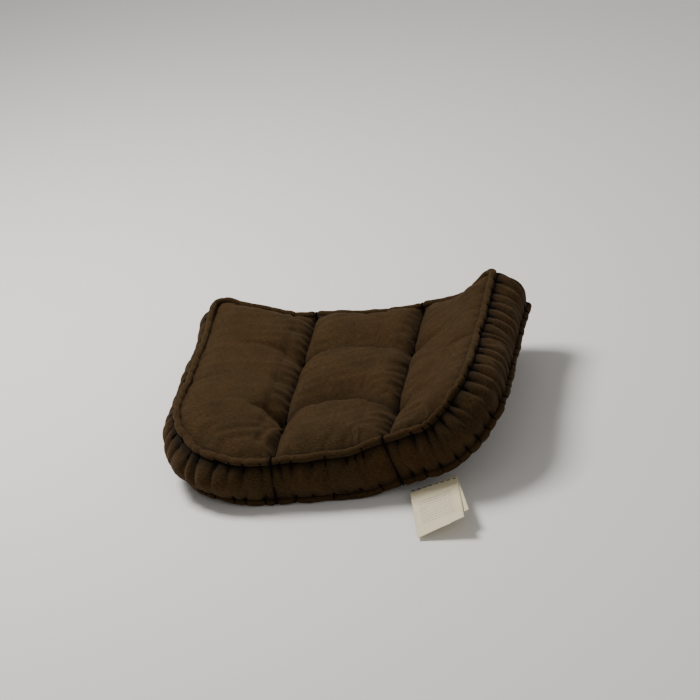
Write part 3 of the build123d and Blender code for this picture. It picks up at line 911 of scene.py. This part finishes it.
boxing_front = dress(make_boxing("boxing_front_cloth", LEFT_SEAM, RIGHT_SEAM), COVER)
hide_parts("boxing_front", "border_wadding")
boxing_back = make_boxing("boxing_back_cloth", RIGHT_SEAM, PERIMETER + LEFT_SEAM)
dress(boxing_back, COVER)
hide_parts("boxing_back")

ROLLED_EDGES = (("top", TOP_ROLL, TOP_STITCHES), ("bottom", LOW_ROLL, LOW_STITCHES))
for edge_name, roll_height, roll_line in ROLLED_EDGES:
    roll = dress(make_roll(f"{edge_name}_rolled_edge", roll_height, roll_line), COVER)
    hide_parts(f"{edge_name}_roll_cover", f"{edge_name}_roll_filler")
    paths = stitch_paths(roll_line, edge_name == "top")
    threads = joined_tubes(f"{edge_name}_edge_stitching", paths, EDGE_THREAD)
    dress(threads, THREAD)
    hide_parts(f"{edge_name}_roll_stitches")

seam_threads = joined_tubes("boxing_seam_stitching", seam_paths(), SEAM_THREAD)
dress(seam_threads, THREAD)
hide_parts("boxing_seam_stitches")

for side_name, column in (("left", -COLUMN), ("right", COLUMN)):
    cord = dress(make_cord(f"tufting_cord_{side_name}", column), CORD)
    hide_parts(f"wrap_cord_{side_name}")

LABEL = label_material()
# Name, flat width and length, turn, offset along the seam, drop behind the front leaf, curl
LABELS = (
    ("front", 0.066, 0.098, math.radians(6), 0.0, 0.0, 0.006),
    ("back", 0.060, 0.086, math.radians(11), 0.006, 0.0012, 0.002),
)
for label_name, label_width, label_length, *hang in LABELS:
    leaf = make_label(f"care_label_{label_name}_cloth", label_width, label_length, *hang)
    dress(leaf, LABEL, "labels")
    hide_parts(f"care_label_{label_name}")

for node in ("tuft_ties", "tuft_knots"):
    piece = frame["nodes"][node]
    piece.data.materials.clear()
    piece.data.materials.append(CORD)
label_threads = frame["nodes"]["label_stitches"]
label_threads.data.materials.clear()
label_threads.data.materials.append(THREAD)

# ---------------------------------------------------------------- floor, light and camera
FLOOR = bpy.data.materials.new("pale_floor")
FLOOR.use_nodes = True
FLOOR.node_tree.nodes["Principled BSDF"].inputs["Base Color"].default_value = (0.80, 0.79, 0.77, 1)
FLOOR.node_tree.nodes["Principled BSDF"].inputs["Roughness"].default_value = 0.9
FLOOR_REACH = 6
FLOOR_DROP = 0.0003
around_floor = ((-1, -1), (1, -1), (1, 1), (-1, 1))
floor_corners = [(x * FLOOR_REACH, y * FLOOR_REACH, -FLOOR_DROP) for x, y in around_floor]
floor = new_object("floor", floor_corners, [(0, 1, 2, 3)])
floor.data.materials.append(FLOOR)

world = bpy.context.scene.world or bpy.data.worlds.new("studio")
bpy.context.scene.world = world
world.use_nodes = True
world.node_tree.nodes["Background"].inputs[0].default_value = (1.0, 0.98, 0.95, 1)
world.node_tree.nodes["Background"].inputs[1].default_value = 0.32


def area_light(name, place, target, size, power, colour):
    """Soft rectangular light aimed at a point."""
    light = bpy.data.lights.new(name, "AREA")
    light.size = size
    light.energy = power
    light.color = colour
    lamp = bpy.data.objects.new(name, light)
    lamp.location = place
    lamp.rotation_euler = (Vector(target) - Vector(place)).to_track_quat("-Z", "Y").to_euler()
    bpy.context.scene.collection.objects.link(lamp)


area_light("key", (-0.9, 0.35, 1.6), (0, 0, 0.05), 0.6, 46, (1.0, 0.97, 0.92))
area_light("fill", (1.2, -1.6, 1.2), (0, 0, 0.05), 1.6, 6, (1.0, 0.96, 0.92))

CAMERA_AZIMUTH = math.radians(11.8)
CAMERA_HEIGHT = math.radians(28.5)
CAMERA_ROLL = math.radians(-7.8)
CAMERA_DISTANCE = 3.207
CAMERA_LENS = 110.07
CAMERA_TARGET = Vector((-0.0470, 0.2142, 0.0))


def make_camera():
    """Camera at the viewing angle of the reference view."""
    level, east, north = math.cos(CAMERA_HEIGHT), math.sin(CAMERA_AZIMUTH), math.cos(CAMERA_AZIMUTH)
    back = Vector((east * level, -north * level, math.sin(CAMERA_HEIGHT)))
    right = Vector((north, east, 0.0))
    up = back.cross(right)
    cos, sin = math.cos(CAMERA_ROLL), math.sin(CAMERA_ROLL)
    right, up = right * cos + up * sin, up * cos - right * sin
    camera = bpy.data.objects.new("camera", bpy.data.cameras.new("camera"))
    camera.data.lens = CAMERA_LENS
    camera.data.sensor_width = 36.0
    camera.data.clip_end = 50
    turn = Matrix((right, up, back)).transposed().to_4x4()
    camera.matrix_world = Matrix.Translation(CAMERA_TARGET + back * CAMERA_DISTANCE) @ turn
    bpy.context.scene.collection.objects.link(camera)
    bpy.context.scene.camera = camera


make_camera()
